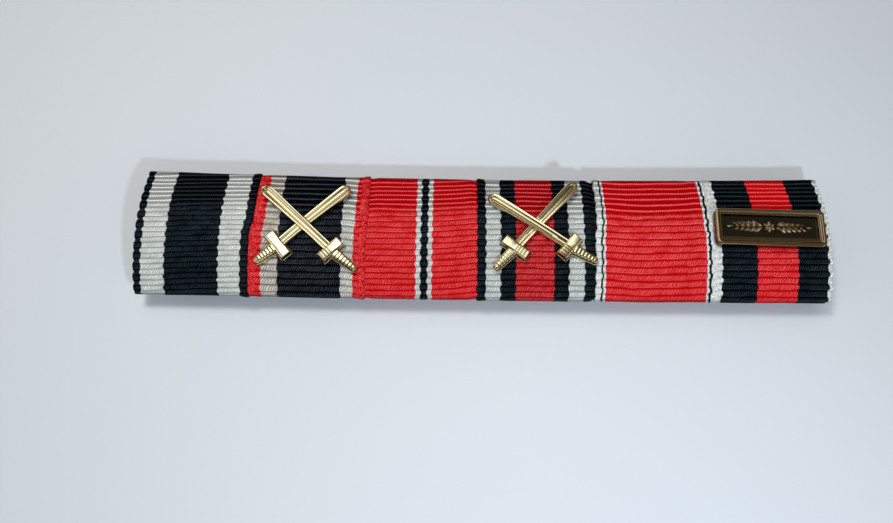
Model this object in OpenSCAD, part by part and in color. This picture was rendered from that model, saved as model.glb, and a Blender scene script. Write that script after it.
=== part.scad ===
/* [Bar] */
// Length of the whole bar, end to end
bar_length = 89; // [80:0.5:100]
// Radius of the arched front, on the outside of the ribbon
front_radius = 16.83; // [15:0.01:20]
// Half of the angle that the plate's arch spans, from the crown to the middle of its rounded edge
edge_angle = 27.3; // [24:0.1:30]
// Height of the folded ribbon edges above the surface that the bar lies on
edge_height = 2.5; // [2.2:0.1:3.5]

/* [Plate] */
// Thickness of the sheet metal plate under the ribbons
plate_thickness = 0.6; // [0.5:0.05:0.8]
// How far each end of the plate stands back inside the ribbons
plate_inset = 0.3; // [0.1:0.05:0.8]

/* [Ribbons] */
// Thickness of the ribbed ribbon
ribbon_thickness = 0.7; // [0.5:0.05:0.9]
// Gap between neighbouring ribbons
ribbon_gap = 0.08; // [0.04:0.01:0.2]
// Gap between ribbon and plate
wrap_gap = 0.05; // [0.03:0.01:0.1]
// Angle from the crown line at which the ribbon tails end on the back
tail_angle = 12.5; // [11:0.5:18]

/* [Crossed swords] */
// Length of one sword from pommel to tip
sword_length = 16; // [14:0.5:17]
// Angle of each sword to the long side of the pair
sword_angle = 41; // [36:1:46]
// Width of the blade next to the guard
blade_root_width = 1.1; // [1:0.05:1.3]
// Width of the blade near its tip
blade_tip_width = 1.55; // [1.4:0.05:1.7]
// Width of the groove along the blade
fuller_width = 0.35; // [0.25:0.05:0.5]
// Depth of the groove along the blade
fuller_depth = 0.2; // [0.1:0.05:0.3]
// Length of the guard across the sword
guard_length = 4.1; // [3.6:0.1:4.6]
// Width of the guard along the sword
guard_width = 1.45; // [1.2:0.05:1.6]
// Length of grip and pommel together, up to the middle of the guard
hilt_length = 4; // [3.6:0.1:4.4]
// Width of the grip next to the guard
grip_width = 1.4; // [1.2:0.05:1.6]
// Width of the grip's round end
pommel_width = 0.95; // [0.8:0.05:1.1]
// Thickness of the swords
sword_thickness = 0.9; // [0.8:0.05:1.1]
// Height of the raised rings on grip and guard
ridge_height = 0.12; // [0.08:0.01:0.15]
// Number of wire turns on the grip
grip_turns = 4; // [3:1:5]
// Number of rings on each half of the guard
guard_rings = 3; // [2:1:4]

/* [Plaque] */
// Length of the plaque
plaque_length = 13.7; // [12:0.1:14]
// Width of the plaque
plaque_width = 4.85; // [4.4:0.05:5.4]
// Thickness of the plaque at its rim
plaque_thickness = 1.2; // [1:0.05:1.5]
// Radius of the plaque's corners
plaque_corner = 0.7; // [0.5:0.05:0.8]
// Width of the outer rim
rim_width = 0.42; // [0.3:0.02:0.5]
// Width of the step inside the rim
step_width = 0.22; // [0.15:0.01:0.3]
// Depth of the step below the rim
step_depth = 0.2; // [0.1:0.05:0.3]
// Depth of the field below the rim
field_depth = 0.65; // [0.5:0.05:0.75]
// Height of the raised ornament on the field
relief_height = 0.3; // [0.2:0.05:0.4]
// Diameter of the rosette in the middle of the field
rosette_width = 1.7; // [1.4:0.1:2]
// Length of the laurel leaves next to the rosette
leaf_length = 1.6; // [1.3:0.1:1.9]
// Pairs of laurel leaves on each side of the rosette
leaf_pairs = 5; // [4:1:6]
// Width of the laurel stem
stem_width = 0.16; // [0.12:0.02:0.24]

/* [Posts] */
// Gap between the back of a device and the crown of the ribbon
seat_gap = 0.08; // [0.04:0.01:0.15]
// Radius of the short posts behind each device
post_radius = 0.45; // [0.35:0.05:0.5]
// Distance of each sword post from the crossing, along its blade
sword_post_distance = 3; // [2:0.1:3.2]
// Distance between the two posts of the plaque
plaque_post_spacing = 9; // [6:0.5:10]
// Clearance round posts and rivets in their holes
hole_clearance = 0.06; // [0.04:0.01:0.1]

/* [Brooch pin] */
// Length of the base strip against the plate
strip_length = 60; // [54:1:64]
// Width of the base strip
strip_width = 5; // [4.4:0.1:5.4]
// Thickness of the base strip
strip_thickness = 0.6; // [0.4:0.05:0.8]
// Distance of hinge and catch from the ends of the strip
fitting_inset = 4; // [3:0.5:6]
// Length of hinge and catch along the bar
fitting_length = 4; // [3:0.1:5]
// Thickness of each hinge ear
ear_thickness = 0.9; // [0.6:0.05:1.1]
// Radius of the needle
needle_radius = 0.45; // [0.35:0.05:0.5]
// Radius of the wire coil round the hinge
coil_radius = 1.1; // [1:0.05:1.3]
// Outer radius of the catch
catch_radius = 1.7; // [1.6:0.05:1.9]
// Wall of the catch
catch_wall = 0.6; // [0.5:0.05:0.7]
// Length of the needle's tapered tip
needle_tip_length = 4; // [3:0.5:6]
// Radius of the rivets that hold the strip to the plate
rivet_radius = 0.8; // [0.6:0.05:1]
// Distance of each rivet from the middle of the bar
rivet_distance = 15; // [12:0.5:17]

/* [Hidden] */
$fn = 72;

red = "#d0202c";
black = "#0c1018";
white = "#d6d7d0";
gold = "#d9c68e";
bronze = "#8c7a46";
steel = "#9a9da0";

// Columns: share of the bar's length, then the stripes from left to right as [colour, share of the ribbon]
RIBBONS = [
    [0.1667, [[black, 0.063], [white, 0.202], [black, 0.461], [white, 0.206], [black, 0.068]]],
    [0.1654, [[red, 0.119], [white, 0.120], [black, 0.543], [white, 0.112], [red, 0.106]]],
    [0.1606, [[red, 0.445], [white, 0.044], [black, 0.071], [white, 0.036], [red, 0.404]]],
    [0.1679, [[black, 0.074], [white, 0.121], [black, 0.125], [red, 0.336], [black, 0.123],
              [white, 0.127], [black, 0.094]]],
    [0.1726, [[white, 0.028], [black, 0.025], [white, 0.026], [red, 0.827], [white, 0.022],
              [black, 0.023], [white, 0.049]]],
    [0.1668, [[white, 0.058], [black, 0.290], [red, 0.351], [black, 0.263], [white, 0.038]]]
];
RIBBON_SHARE = 0;
RIBBON_STRIPES = 1;
STRIPE_COLOUR = 0;
STRIPE_SHARE = 1;

// Columns: place of the crossing along the bar and across it, as shares of length and width, and turn in degrees
SWORD_PAIRS = [
    [-0.2540, 0.045, 0.3],
    [0.0764, 0.055, 7.9]
];
// The plaque's place, in the same columns
PLAQUE_PLACE = [0.4079, 0.048, -1];
PLACE_X = 0;
PLACE_Y = 1;
PLACE_TURN = 2;

// Radii of the layers about the arch's axis
ribbon_inner = front_radius - ribbon_thickness;
plate_outer = ribbon_inner - wrap_gap;
plate_inner = plate_outer - plate_thickness;
plate_middle = (plate_outer + plate_inner) / 2;
fold_inner = plate_thickness / 2 + wrap_gap;
fold_outer = fold_inner + ribbon_thickness;

// Height of the arch's axis, and of the crown of the ribbons
arch_z = edge_height + fold_outer - plate_middle * cos(edge_angle);
crown_z = arch_z + front_radius;
bar_width = 2 * (plate_middle * sin(edge_angle) + fold_outer);
device_z = crown_z + seat_gap;
post_end_z = arch_z + plate_inner;

// Length over which neighbouring stripes of one ribbon run into each other
stripe_overlap = ribbon_gap / 4;

// Share of the sword's length between pommel and crossing
crossing_share = 0.535;
// Share of the guard's width that its rings cover
ring_share = 0.8;

// Turn of the laurel leaves off their stem, their width as a share of their length,
// the share that each leaf loses against the one before it, and the last leaf's share
leaf_angle = 32;
leaf_width_share = 0.3;
leaf_loss = 0.06;
last_leaf_share = 0.8;
petals = 6;

// Height of the needle's axis, and of the catch's slot as a multiple of the needle's radius
needle_z = catch_radius;
slot_ratio = 2.5;

function share_before(list, column, i) = i == 0 ? 0 : list[i - 1][column] + share_before(list, column, i - 1);
function ribbon_start(i) = (share_before(RIBBONS, RIBBON_SHARE, i) - 0.5) * bar_length;
function ribbon_width(i) = RIBBONS[i][RIBBON_SHARE] * bar_length - (i < len(RIBBONS) - 1 ? ribbon_gap : 0);
function place_of(place) = [place[PLACE_X] * bar_length, place[PLACE_Y] * bar_width];
function turned(point, angle) = [
    point[0] * cos(angle) - point[1] * sin(angle),
    point[0] * sin(angle) + point[1] * cos(angle)
];
function sword_posts(place) = [
    for (side = [-1, 1])
        place_of(place) + turned([
            side * sword_post_distance * cos(sword_angle),
            -sword_post_distance * sin(sword_angle)
        ], place[PLACE_TURN])
];
function plaque_posts(place) = [
    for (side = [-1, 1])
        place_of(place) + turned([side * plaque_post_spacing / 2, 0], place[PLACE_TURN])
];

device_posts = concat(sword_posts(SWORD_PAIRS[0]), sword_posts(SWORD_PAIRS[1]), plaque_posts(PLAQUE_PLACE));
rivets = [[-rivet_distance, 0], [rivet_distance, 0]];

// Wedge of the section plane between two angles from the crown, well past the arch
module wedge(from, to) {
    reach = 2 * front_radius;
    polygon([[0, 0], [reach * sin(from), reach * cos(from)], [reach * sin(to), reach * cos(to)]]);
}

module arc_band(inner, outer, from, to) {
    intersection() {
        difference() {
            circle(r = outer);
            circle(r = inner);
        }
        wedge(from, to);
    }
}

// Puts a drawing of the section at the arch's axis and runs it along the bar
module along_bar(start, length) {
    translate([start, 0, arch_z])
        rotate([90, 0, 90])
            linear_extrude(height = length)
                children();
}

// Arched band about the plate's middle, with round edges
module layer_section(half_thickness) {
    arc_band(plate_middle - half_thickness, plate_middle + half_thickness, -edge_angle, edge_angle);
    for (side = [-1, 1])
        rotate(side * edge_angle)
            translate([0, plate_middle])
                circle(r = half_thickness);
}

// The ribbon goes round both edges of the plate and ends in two tails on the back
module ribbon_section() {
    difference() {
        layer_section(fold_outer);
        layer_section(fold_inner);
        intersection() {
            circle(r = plate_middle);
            wedge(-tail_angle, tail_angle);
        }
    }
}

// Vertical holes for the posts, with their clearance
module holes(points, radius) {
    for (point = points)
        translate([point[0], point[1], post_end_z - plate_thickness])
            cylinder(h = crown_z - post_end_z + 2 * plate_thickness, r = radius + hole_clearance);
}

// Ribbon holes stop above the tails on the back
module ribbon_holes(points) {
    for (point = points)
        translate([point[0], point[1], post_end_z])
            cylinder(h = crown_z - post_end_z + plate_thickness, r = post_radius + hole_clearance);
}

module bar_plate() {
    color(steel)
        difference() {
            along_bar(-bar_length / 2 + plate_inset, bar_length - 2 * plate_inset)
                layer_section(plate_thickness / 2);
            holes(device_posts, post_radius);
            holes(rivets, rivet_radius);
        }
}

module ribbon(i) {
    stripes = RIBBONS[i][RIBBON_STRIPES];
    width = ribbon_width(i);
    difference() {
        union()
            for (j = [0 : len(stripes) - 1])
                color(stripes[j][STRIPE_COLOUR])
                    along_bar(
                        ribbon_start(i) + share_before(stripes, STRIPE_SHARE, j) * width,
                        stripes[j][STRIPE_SHARE] * width + (j < len(stripes) - 1 ? stripe_overlap : 0)
                    )
                        ribbon_section();
        ribbon_holes(device_posts);
    }
}

// Bar with round ends, centred
module stadium(length, width) {
    square([length - width, width], center = true);
    for (side = [-1, 1])
        translate([side * (length - width) / 2, 0])
            circle(d = width);
}

// One sword along X, its pommel's end at 0, flat on its back
module sword() {
    tip_radius = blade_tip_width / 2;
    blade_end = sword_length - tip_radius;
    grip_end = pommel_width / 2;
    difference() {
        linear_extrude(height = sword_thickness) {
            polygon([
                [hilt_length, -blade_root_width / 2], [blade_end, -tip_radius],
                [blade_end, tip_radius], [hilt_length, blade_root_width / 2]
            ]);
            translate([blade_end, 0])
                circle(r = tip_radius);
        }
        translate([0, 0, sword_thickness - fuller_depth])
            linear_extrude(height = 2 * fuller_depth)
                translate([(hilt_length + blade_end) / 2, 0])
                    stadium(blade_end - hilt_length + fuller_width, fuller_width);
    }
    linear_extrude(height = sword_thickness) {
        translate([hilt_length, 0])
            rotate(90)
                stadium(guard_length, guard_width);
        polygon([
            [grip_end, -pommel_width / 2], [hilt_length, -grip_width / 2],
            [hilt_length, grip_width / 2], [grip_end, pommel_width / 2]
        ]);
        translate([grip_end, 0])
            circle(d = pommel_width);
    }
    turn_pitch = (hilt_length - guard_width / 2 - grip_end) / grip_turns;
    for (k = [0 : grip_turns - 1])
        translate([grip_end + (k + 0.5) * turn_pitch, 0, sword_thickness])
            rotate([90, 0, 0])
                cylinder(h = pommel_width, r = ridge_height, center = true);
    ring_pitch = (guard_length - blade_root_width) / 2 / (guard_rings + 1);
    for (side = [-1, 1], k = [1 : guard_rings])
        translate([hilt_length, side * (guard_length / 2 - k * ring_pitch), sword_thickness])
            rotate([0, 90, 0])
                cylinder(h = ring_share * guard_width, r = ridge_height, center = true);
}

module crossed_swords(place) {
    centre = place_of(place);
    color(gold) {
        translate([centre[0], centre[1], device_z])
            rotate(place[PLACE_TURN])
                for (side = [0, 1])
                    mirror([side, 0, 0])
                        rotate(sword_angle)
                            translate([-crossing_share * sword_length, 0, 0])
                                sword();
        posts(sword_posts(place), device_z + sword_thickness / 2);
    }
}

module posts(points, top_z) {
    for (point = points)
        translate([point[0], point[1], post_end_z])
            cylinder(h = top_z - post_end_z, r = post_radius);
}

// Rectangle with round corners, centred
module rounded(length, width, corner) {
    square([length - 2 * corner, width], center = true);
    square([length, width - 2 * corner], center = true);
    for (x = [-1, 1], y = [-1, 1])
        translate([x * (length / 2 - corner), y * (width / 2 - corner)])
            circle(r = corner);
}

// Slender leaf from the origin along X, where two circles overlap
module leaf(length) {
    leaf_width = leaf_width_share * length;
    bulge = (pow(length, 2) + pow(leaf_width, 2)) / (4 * leaf_width);
    translate([length / 2, 0])
        intersection_for(side = [-1, 1])
            translate([0, side * (bulge - leaf_width / 2)])
                circle(r = bulge);
}

module rosette() {
    petal_width = rosette_width / 3;
    for (k = [0 : petals - 1])
        rotate(k * 360 / petals)
            translate([petal_width, 0])
                circle(d = petal_width);
    circle(d = petal_width + ridge_height);
}

// Rosette between two laurel sprays, whose leaves get shorter towards the ends of the field
module ornament(length) {
    spray = length / 2 - rosette_width / 2;
    pitch = (spray - leaf_length) / leaf_pairs;
    rosette();
    for (side = [0, 1])
        mirror([side, 0]) {
            translate([0, -stem_width / 2])
                square([rosette_width / 2 + leaf_pairs * pitch + stem_width, stem_width]);
            for (k = [0 : leaf_pairs - 1])
                translate([rosette_width / 2 + k * pitch, 0])
                    for (turn = [-leaf_angle, leaf_angle])
                        rotate(turn)
                            leaf(leaf_length * (1 - leaf_loss * k));
            translate([rosette_width / 2 + leaf_pairs * pitch, 0])
                leaf(leaf_length * last_leaf_share);
        }
}

module plaque() {
    centre = place_of(PLAQUE_PLACE);
    step_inset = 2 * rim_width;
    field_inset = 2 * (rim_width + step_width);
    color(bronze) {
        translate([centre[0], centre[1], device_z])
            rotate(PLAQUE_PLACE[PLACE_TURN]) {
                difference() {
                    linear_extrude(height = plaque_thickness)
                        rounded(plaque_length, plaque_width, plaque_corner);
                    translate([0, 0, plaque_thickness - step_depth])
                        linear_extrude(height = 2 * step_depth)
                            rounded(plaque_length - step_inset, plaque_width - step_inset,
                                    plaque_corner - rim_width / 2);
                    translate([0, 0, plaque_thickness - field_depth])
                        linear_extrude(height = 2 * field_depth)
                            rounded(plaque_length - field_inset, plaque_width - field_inset,
                                    plaque_corner - rim_width);
                }
                translate([0, 0, plaque_thickness - field_depth - relief_height])
                    linear_extrude(height = 2 * relief_height)
                        ornament(plaque_length - field_inset);
            }
        posts(plaque_posts(PLAQUE_PLACE), device_z + (plaque_thickness - field_depth) / 2);
    }
}

// Base strip, riveted to the plate, with hinge, needle and catch as one piece
module brooch_pin() {
    strip_outer = plate_inner - wrap_gap;
    strip_inner = strip_outer - strip_thickness;
    strip_half_angle = asin(strip_width / 2 / strip_outer);
    fitting_x = strip_length / 2 - fitting_inset;
    seat_z = arch_z + strip_inner + strip_thickness / 2;
    seat_edge_z = arch_z + strip_inner * cos(strip_half_angle) + strip_thickness / 2;
    color(steel) {
        along_bar(-strip_length / 2, strip_length)
            arc_band(strip_inner, strip_outer, -strip_half_angle, strip_half_angle);
        for (point = rivets)
            translate([point[0], point[1], seat_z])
                cylinder(h = arch_z + plate_outer - seat_z, r = rivet_radius);
        // Hinge ears with their pin and the wire coil
        for (side = [-1, 1])
            translate([-fitting_x, side * (strip_width - ear_thickness) / 2, 0])
                rotate([90, 0, 0])
                    linear_extrude(height = ear_thickness, center = true)
                        translate([-fitting_length / 2, 0])
                            square([fitting_length, seat_edge_z]);
        translate([-fitting_x, 0, needle_z])
            rotate([90, 0, 0]) {
                cylinder(h = strip_width - ear_thickness, r = needle_radius, center = true);
                cylinder(h = strip_width - 3 * ear_thickness, r = coil_radius, center = true);
            }
        // Needle, tapered at its tip
        translate([-fitting_x, 0, needle_z])
            rotate([0, 90, 0])
                cylinder(h = 2 * fitting_x + fitting_length / 2 - needle_tip_length, r = needle_radius);
        translate([fitting_x + fitting_length / 2 - needle_tip_length, 0, needle_z])
            rotate([0, 90, 0])
                cylinder(h = needle_tip_length, r1 = needle_radius, r2 = needle_radius / 3);
        // Catch, open to one side, on its stem
        translate([fitting_x, 0, 0])
            rotate([90, 0, 90])
                linear_extrude(height = fitting_length, center = true) {
                    difference() {
                        translate([0, catch_radius])
                            circle(r = catch_radius);
                        translate([0, catch_radius])
                            circle(r = catch_radius - catch_wall);
                        translate([0, catch_radius - needle_radius])
                            square([2 * catch_radius, slot_ratio * needle_radius]);
                    }
                    translate([-catch_wall, 2 * catch_radius - catch_wall / 2])
                        square([2 * catch_wall, seat_z - 2 * catch_radius + catch_wall / 2]);
                }
    }
}

bar_plate();
for (i = [0 : len(RIBBONS) - 1])
    ribbon(i);
crossed_swords(SWORD_PAIRS[0]);  // crossed_swords_left
crossed_swords(SWORD_PAIRS[1]);  // crossed_swords_right
plaque();
brooch_pin();
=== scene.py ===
"""Ribbon bar: six ribbed ribbons on an arched plate, two pairs of crossed swords and a plaque."""

import math

import bpy
import numpy as np
from mathutils import Matrix, Vector


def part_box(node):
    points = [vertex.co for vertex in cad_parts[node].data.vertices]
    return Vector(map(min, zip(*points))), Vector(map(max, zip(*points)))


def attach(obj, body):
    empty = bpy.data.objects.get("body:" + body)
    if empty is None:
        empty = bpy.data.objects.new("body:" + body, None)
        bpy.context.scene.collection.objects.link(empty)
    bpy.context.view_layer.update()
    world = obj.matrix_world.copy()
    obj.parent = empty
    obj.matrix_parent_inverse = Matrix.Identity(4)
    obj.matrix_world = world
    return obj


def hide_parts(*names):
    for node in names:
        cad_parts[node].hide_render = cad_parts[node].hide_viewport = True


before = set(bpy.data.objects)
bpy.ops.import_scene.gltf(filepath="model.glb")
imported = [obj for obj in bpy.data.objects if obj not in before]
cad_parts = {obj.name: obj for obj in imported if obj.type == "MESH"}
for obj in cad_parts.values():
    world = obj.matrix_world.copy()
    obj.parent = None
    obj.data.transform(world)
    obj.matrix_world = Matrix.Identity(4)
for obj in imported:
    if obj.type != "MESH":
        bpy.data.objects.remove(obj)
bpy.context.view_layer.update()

MM = 0.001

# Section of the bar, in millimetres
FRONT_RADIUS = 16.83
EDGE_ANGLE = math.radians(27.3)
TAIL_ANGLE = math.radians(12.5)
FOLD_OUTER = 1.05
CROWN_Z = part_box("ribbon_1")[1][2] / MM
BAR_LENGTH = 89.0
AXIS_Z = CROWN_Z - FRONT_RADIUS
PLATE_MIDDLE = FRONT_RADIUS - FOLD_OUTER
# Swords and plaque stand this far over the crown
SEAT_GAP = 0.08

# The bar is bowed a little in plan: its ends lie further up than its middle
BOW = 0.00021
BOW_MEAN = (BAR_LENGTH / 2) ** 2 / 3
# The bar is also a little wider at its ends than in its middle
SPREAD = 0.0000119

# Lengths along the outside of a ribbon, from the crown
FRONT_HALF = FRONT_RADIUS * EDGE_ANGLE
FOLD_LENGTH = math.pi * FOLD_OUTER
TAIL_LENGTH = (PLATE_MIDDLE - FOLD_OUTER) * (EDGE_ANGLE - TAIL_ANGLE)
HALF_LENGTH = FRONT_HALF + FOLD_LENGTH + TAIL_LENGTH


# Small helpers for meshes

def bowed(x):
    """How far the bow moves a point at x across the bar."""
    return BOW * (x * x - BOW_MEAN)


def smoothstep(low, high, value):
    t = np.clip((value - low) / (high - low), 0, 1)
    return t * t * (3 - 2 * t)


def new_piece(name, verts, faces, material, smooth_angle=None):
    """An object from points in millimetres."""
    mesh = bpy.data.meshes.new(name)
    mesh.from_pydata((np.asarray(verts, float) * MM).tolist(), [], faces)
    mesh.validate()
    mesh.polygons.foreach_set("use_smooth", [True] * len(mesh.polygons))
    if smooth_angle is not None:
        mesh.set_sharp_from_angle(angle=math.radians(smooth_angle))
    piece = bpy.data.objects.new(name, mesh)
    bpy.context.scene.collection.objects.link(piece)
    piece.data.materials.append(material)
    return piece


def store_values(piece, name, values):
    """Keeps one number for each point of a piece, for its material."""
    layer = piece.data.attributes.new(name, "FLOAT", "POINT")
    layer.data.foreach_set("value", values.astype(np.float32))


def outward(verts, faces):
    """Turns the faces of a closed surface so that they look outward."""
    volume = 0.0
    for face in faces:
        first = verts[face[0]]
        for i in range(1, len(face) - 1):
            volume += np.dot(first, np.cross(verts[face[i]], verts[face[i + 1]]))
    return verts, faces if volume > 0 else [face[::-1] for face in faces]


def ring_faces(rows, count):
    """Faces of a closed surface through rows of rings of count points each, with flat ends."""
    faces = []
    for r in range(rows - 1):
        a, b = r * count, (r + 1) * count
        faces += [[a + i, a + (i + 1) % count, b + (i + 1) % count, b + i] for i in range(count)]
    faces.append(list(range(count))[::-1])
    faces.append([(rows - 1) * count + i for i in range(count)])
    return faces


def loft(rings):
    """Closed surface through rings of equally many points."""
    return outward(np.concatenate(rings), ring_faces(len(rings), len(rings[0])))


def joined(parts):
    """Several (verts, faces) as one."""
    verts, faces, start = [], [], 0
    for part_verts, part_faces in parts:
        verts.append(part_verts)
        faces += [[start + i for i in face] for face in part_faces]
        start += len(part_verts)
    return np.concatenate(verts), faces


# Small helpers for materials

def material_with(name):
    material = bpy.data.materials.new(name)
    material.use_nodes = True
    tree = material.node_tree
    return material, tree, tree.nodes["Principled BSDF"]


def feed(tree, socket, value):
    if isinstance(value, bpy.types.NodeSocket):
        tree.links.new(value, socket)
    else:
        socket.default_value = value


def calc(tree, operation, a, b=None, c=None, clamp=False):
    node = tree.nodes.new("ShaderNodeMath")
    node.operation = operation
    node.use_clamp = clamp
    for socket, value in zip(node.inputs, (a, b, c)):
        if value is not None:
            feed(tree, socket, value)
    return node.outputs[0]


def times(tree, a, b):
    return calc(tree, "MULTIPLY", a, b)


def between(tree, share, a, b):
    """a where share is 0, b where it is 1."""
    return calc(tree, "MULTIPLY_ADD", calc(tree, "SUBTRACT", b, a), share, a)


def blend_colours(tree, factor, a, b, mode="MIX"):
    node = tree.nodes.new("ShaderNodeMix")
    node.data_type = "RGBA"
    node.blend_type = mode
    for key, value in (("Factor", factor), ("A", a), ("B", b)):
        sockets = [s for s in node.inputs if s.name == key and s.enabled]
        if isinstance(value, tuple):
            value = (*value, 1.0)
        feed(tree, sockets[0], value)
    return [s for s in node.outputs if s.enabled][0]


def ramp(tree, value, low, high, out_low, out_high):
    """out_low up to the value low, out_high from the value high on, and even between them."""
    node = tree.nodes.new("ShaderNodeMapRange")
    limits = {"From Min": low, "From Max": high, "To Min": out_low, "To Max": out_high}
    for key, number in limits.items():
        node.inputs[key].default_value = number
    feed(tree, node.inputs["Value"], value)
    return node.outputs[0]


def noise(tree, vector, scale, detail=2.0, roughness=0.5):
    node = tree.nodes.new("ShaderNodeTexNoise")
    node.inputs["Scale"].default_value = scale
    node.inputs["Detail"].default_value = detail
    node.inputs["Roughness"].default_value = roughness
    tree.links.new(vector, node.inputs["Vector"])
    return node.outputs["Fac"]


def unevenness(tree, vector, scale, detail):
    """Noise about zero, from -0.5 to 0.5."""
    return calc(tree, "SUBTRACT", noise(tree, vector, scale, detail), 0.5)


def combine(tree, x, y, z=0.0):
    node = tree.nodes.new("ShaderNodeCombineXYZ")
    for socket, value in zip(node.inputs, (x, y, z)):
        feed(tree, socket, value)
    return node.outputs[0]


def stored(tree, name):
    """The number that each point keeps under a name."""
    node = tree.nodes.new("ShaderNodeAttribute")
    node.attribute_name = name
    return node.outputs["Fac"]


def bump(tree, height, distance, strength=1.0):
    node = tree.nodes.new("ShaderNodeBump")
    node.inputs["Strength"].default_value = strength
    node.inputs["Distance"].default_value = distance
    tree.links.new(height, node.inputs["Height"])
    return node.outputs["Normal"]


# Ribbons

# Yarns of each colour: their colour in shade, and the painted highlight colour where they shine
RED = ((0.52, 0.0015, 0.0035), (0.84, 0.107, 0.113))
LIGHT_RED = ((0.545, 0.0018, 0.0040), (0.89, 0.118, 0.122))
DARK_RED = ((0.37, 0.0015, 0.0035), (0.77, 0.105, 0.112))
BLACK = ((0.0001, 0.0012, 0.0026), (0.025, 0.037, 0.045))
# Black with a stronger painted highlight on its yarns
SHINIER_BLACK = ((0.0004, 0.0012, 0.0028), (0.046, 0.055, 0.064))
WHITE = ((0.41, 0.42, 0.39), (0.905, 0.915, 0.875))
BRIGHT_WHITE = ((0.52, 0.53, 0.50), (0.98, 0.98, 0.96))
GREY_WHITE = ((0.36, 0.37, 0.345), (0.84, 0.85, 0.81))
IVORY = ((0.33, 0.32, 0.285), (0.93, 0.90, 0.84))
BEIGE = ((0.27, 0.235, 0.20), (0.92, 0.82, 0.73))

# Columns: left and right border along the bar, rib pitch, rib crests as (place along the bar, distance
# from the crown), stripes as (colour, right border, how far the border steps out from rib to rib), and
# for the left and the right edge the width of the selvage, how much it is beaded and its lift over the
# next ribbon. Some also have how far each edge leans aside above and below the crown, growth of the rib
# count with the square of the distance from the crown, or a painted shade of their own on the flanks of
# their tight ribs
RIBBONS = {
    "ribbon_1": dict(
        span=(-44.42, -29.72), pitch=0.688,
        crests=[(-43.0, 0.17), (-41.2, 0.27), (-39.5, 0.45), (-36.5, 0.63), (-33.0, 0.78), (-31.2, 0.87)],
        stripes=[(BLACK, -43.46, 0.09), (WHITE, -40.50, -0.09), (BLACK, -33.64, 0.09),
                 (WHITE, -30.68, -0.09), (BLACK, -29.0, 0)],
        selvage=(0.85, 1.0), beads=(1.0, 1.1), lift=(0.0, 0.16), lean=((0, 0), (0.2, -0.2))),
    "ribbon_2": dict(
        span=(-29.70, -14.86), pitch=0.875,
        crests=[(-28.6, 0.23), (-27.0, 0.17), (-17.3, 0.19), (-15.8, 0.03)],
        stripes=[(RED, -28.12, 0.06), (BEIGE, -26.11, -0.09), (SHINIER_BLACK, -18.1, 0.09),
                 (IVORY, -16.45, -0.06), (RED, -14.0, 0)],
        selvage=(1.3, 1.2), beads=(0.35, 0.35), lift=(-0.05, 0.16),
        lean=((0.2, -0.2), (0.05, -0.15))),
    "ribbon_3": dict(
        span=(-14.96, -0.62), pitch=0.756,
        crests=[(-14.2, 0.21), (-9.0, 0.24), (-5.5, 0.47), (-4.0, 0.57), (-2.5, 0.71), (-1.3, 0.9)],
        stripes=[(RED, -8.53, -0.08), (WHITE, -7.93, -0.10), (BLACK, -7.02, 0.10),
                 (WHITE, -6.47, 0.08), (RED, 0.0, 0)],
        selvage=(0.4, 0.3), beads=(0.5, 0.8), lift=(-0.12, -0.1), lean=((0.05, -0.15), (0, 0))),
    "ribbon_4": dict(
        span=(-0.68, 14.85), pitch=0.752,
        crests=[(0.0, 0.14), (1.3, 0.14), (5.0, 0.29), (8.5, 0.26), (12.0, 0.32), (13.6, 0.37)],
        stripes=[(BLACK, 0.42, 0.08), (GREY_WHITE, 2.3, -0.09), (BLACK, 4.25, 0.08),
                 (DARK_RED, 9.1, 0.08), (BLACK, 11.0, -0.08), (GREY_WHITE, 12.98, -0.09),
                 (BLACK, 15.0, 0)],
        selvage=(1.0, 0.8), beads=(1.0, 1.1), lift=(0.12, -0.3)),
    "ribbon_5": dict(
        span=(14.38, 29.60), pitch=0.915,
        crests=[(16.2, -0.07), (17.5, -0.17), (19.0, -0.27), (21.0, -0.27), (23.0, -0.2),
                (26.5, -0.11), (27.6, 0.03)],
        stripes=[(BRIGHT_WHITE, 15.03, 0.07), (BLACK, 15.27, 0.07), (BRIGHT_WHITE, 15.6, 0.04),
                 (LIGHT_RED, 28.52, 0.04), (BRIGHT_WHITE, 28.80, 0.06), (BLACK, 29.10, 0.06),
                 (BRIGHT_WHITE, 30.0, 0)],
        selvage=(0.7, 0.6), beads=(0.9, 0.3), lift=(0.10, 0.0), lean=((0.35, 0.05), (-0.1, 0.0))),
    "ribbon_6": dict(
        span=(29.42, 44.48), pitch=0.78,
        crests=[(31.5, -0.33), (44.0, -0.36)],
        stripes=[(BRIGHT_WHITE, 30.42, -0.09), (BLACK, 34.95, 0.06), (LIGHT_RED, 40.1, 0.06),
                 (BLACK, 43.95, 0.09), (BRIGHT_WHITE, 45.0, 0)],
        selvage=(0.9, 0.5), beads=(0.3, 1.2), lift=(0.02, 0.0), growth=0.0064, flank_painted_shade=1.0),
}

CLOTH = 0.68
EDGE_ROUND = 0.2

# Depth of the ribs at the usual pitch, how uneven it is, and how much of it goes where the cloth is
# drawn tight, from some distance above the crown on, and where it is bent over the folds
RIB_DEPTH = 0.27
USUAL_PITCH = 0.75
DEPTH_UNEVEN = 0.12
TIGHT_FROM = 1.9
TIGHT_TO = 3.4
TIGHT_LOSS = 0.45
FOLD_LOSS = 0.6
FOLD_LOSS_BEFORE = 0.2
FOLD_LOSS_AFTER = 0.5

# Selvages: share of their width that is fully one, loss of ribs, depth of the beads, and the loops that
# these make along the edge
SELVAGE_CORE = 0.55
SELVAGE_LOSS = 0.8
BEAD_DEPTH = 0.7
BEAD_LOOP = 0.2
LOOP_REACH = 0.8
FRAYED = 0.05

# Distances from an edge over which its lift and its lean fade, and from the crown over which the lean
# turns from the lower value to the upper one
LIFT_FADE = (0.3, 1.3)
LEAN_FADE = (0.6, 3.0)
LEAN_TURN = (-0.8, 1.6)
NO_LEAN = ((0, 0), (0, 0))

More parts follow.
